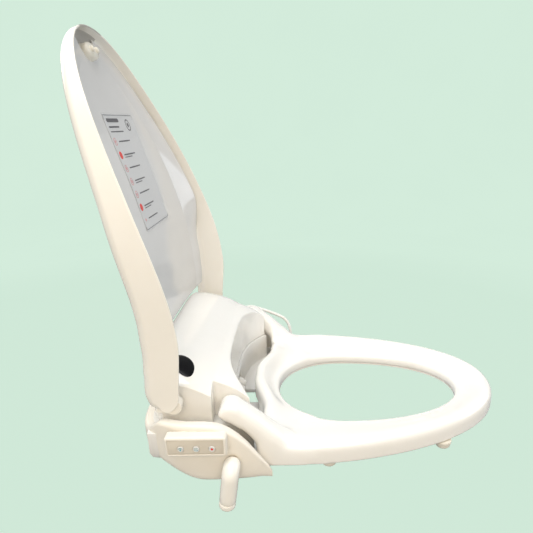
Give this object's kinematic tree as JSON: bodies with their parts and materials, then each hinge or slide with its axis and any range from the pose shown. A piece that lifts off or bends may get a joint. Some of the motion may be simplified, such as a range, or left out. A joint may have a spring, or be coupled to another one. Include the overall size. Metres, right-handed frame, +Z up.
{
  "type": "electric bidet seat",
  "caption": "White electric bidet seat with a deep hinged lid, heated oval seat ring, side button pod, wash nozzles and an elbow water inlet.",
  "frame": {"origin": "on the bowl deck plane, under the mounting plate, midway between the two fixing bolts", "axes": "-Y to the front of the seat, +Z up, -X to the seated user's right hand, where the buttons and inlet are"},
  "size_m": [0.5055, 0.6167, 0.6412],
  "materials": {
    "shell_white": "glossy white moulded housing plastic",
    "seat_white": "glossy white antibacterial seat plastic",
    "liner_grey": "polished pale grey inner liner",
    "base_white": "satin off-white base plastic",
    "window_black": "glossy black infrared window",
    "rubber_grey": "soft grey elastomer",
    "cap_grey": "satin light grey plastic",
    "steel": "brushed stainless steel",
    "brass": "machined brass",
    "board_green": "coated circuit board",
    "dark_plastic": "black engineering plastic",
    "tank_cream": "cream moulded plastic",
    "label_white": "printed label stock, satin",
    "cord_white": "white flexible cable jacket"
  },
  "bodies": {
    "housing": {"base_shell": "base_white", "top_cover": "shell_white", "sensor_window": "window_black", "button_pod": "shell_white", "seat_pin_near": "steel", "seat_pin_far": "steel", "lid_damper_near": "dark_plastic", "lid_damper_far": "dark_plastic", "nozzle_guide": "cap_grey", "nozzle_motor": "dark_plastic", "heater_tank": "tank_cream", "tank_cap": "brass", "circuit_board": "board_green", "board_blocks": "dark_plastic", "valve_block": "brass", "pump": "steel", "dryer_fan": "dark_plastic", "mounting_plate": "shell_white", "fixing_bolt_near": "steel", "fixing_bolt_far": "steel", "fixing_nut_near": "dark_plastic", "fixing_nut_far": "dark_plastic", "inlet_spigot": "brass", "cord_relief": "cord_white", "cord_lead": "cord_white", "cord_tail": "cord_white", "cord_coil": "cord_white", "cord_plug": "cord_white"},
    "seat": {"seat_top": "seat_white", "seat_bottom": "seat_white", "seat_foot_rear_near": "rubber_grey", "seat_foot_rear_far": "rubber_grey", "seat_foot_front_near": "rubber_grey", "seat_foot_front_far": "rubber_grey"},
    "lid": {"lid_shell": "shell_white", "lid_liner": "liner_grey", "lid_pivot_near": "shell_white", "lid_pivot_far": "shell_white", "lid_label": "label_white", "lid_tip_boss": "tank_cream", "lid_pad_near": "rubber_grey", "lid_pad_far": "rubber_grey"},
    "wash_button": {"button_wash": "cap_grey"},
    "bidet_button": {"button_bidet": "cap_grey"},
    "stop_button": {"button_stop": "cap_grey"},
    "wash_nozzle": {"nozzle_wash": "shell_white"},
    "bidet_nozzle": {"nozzle_bidet": "shell_white"},
    "elbow": {"inlet_elbow": "shell_white"},
    "cassette": {"deodoriser_cassette": "cap_grey"},
    "latch": {"release_button": "cap_grey"}
  },
  "joints": [
    {"name": "lid_hinge", "type": "hinge", "parent": "housing", "child": "lid", "pos_m": [0, 0.024, 0.109], "axis": [-1, 0, 0], "range_deg": [-109.5, 0]},
    {"name": "seat_hinge", "type": "hinge", "parent": "housing", "child": "seat", "pos_m": [0, -0.052, 0.093], "axis": [-1, 0, 0], "range_deg": [0, 100]},
    {"name": "wash_press", "type": "slide", "parent": "housing", "child": "wash_button", "axis": [1, 0, 0], "range_m": [0, 0.0016], "stiffness_N_per_m": 500, "springref_m": -0.0015},
    {"name": "bidet_press", "type": "slide", "parent": "housing", "child": "bidet_button", "axis": [1, 0, 0], "range_m": [0, 0.0016], "stiffness_N_per_m": 500, "springref_m": -0.0015},
    {"name": "stop_press", "type": "slide", "parent": "housing", "child": "stop_button", "axis": [1, 0, 0], "range_m": [0, 0.0016], "stiffness_N_per_m": 500, "springref_m": -0.0015},
    {"name": "wash_extend", "type": "slide", "parent": "housing", "child": "wash_nozzle", "axis": [0, -0.866, -0.5], "range_m": [0, 0.08]},
    {"name": "bidet_extend", "type": "slide", "parent": "housing", "child": "bidet_nozzle", "axis": [0, -0.866, -0.5], "range_m": [0, 0.08]},
    {"name": "elbow_swivel", "type": "hinge", "parent": "housing", "child": "elbow", "pos_m": [-0.213, -0.052, 0.036], "axis": [1, 0, 0], "range_deg": [-60, 60]},
    {"name": "cassette_pull", "type": "slide", "parent": "housing", "child": "cassette", "axis": [1, 0, 0], "range_m": [0, 0.03]},
    {"name": "latch_press", "type": "slide", "parent": "housing", "child": "latch", "axis": [0, -1, 0], "range_m": [0, 0.004], "stiffness_N_per_m": 400, "springref_m": -0.002}
  ]
}
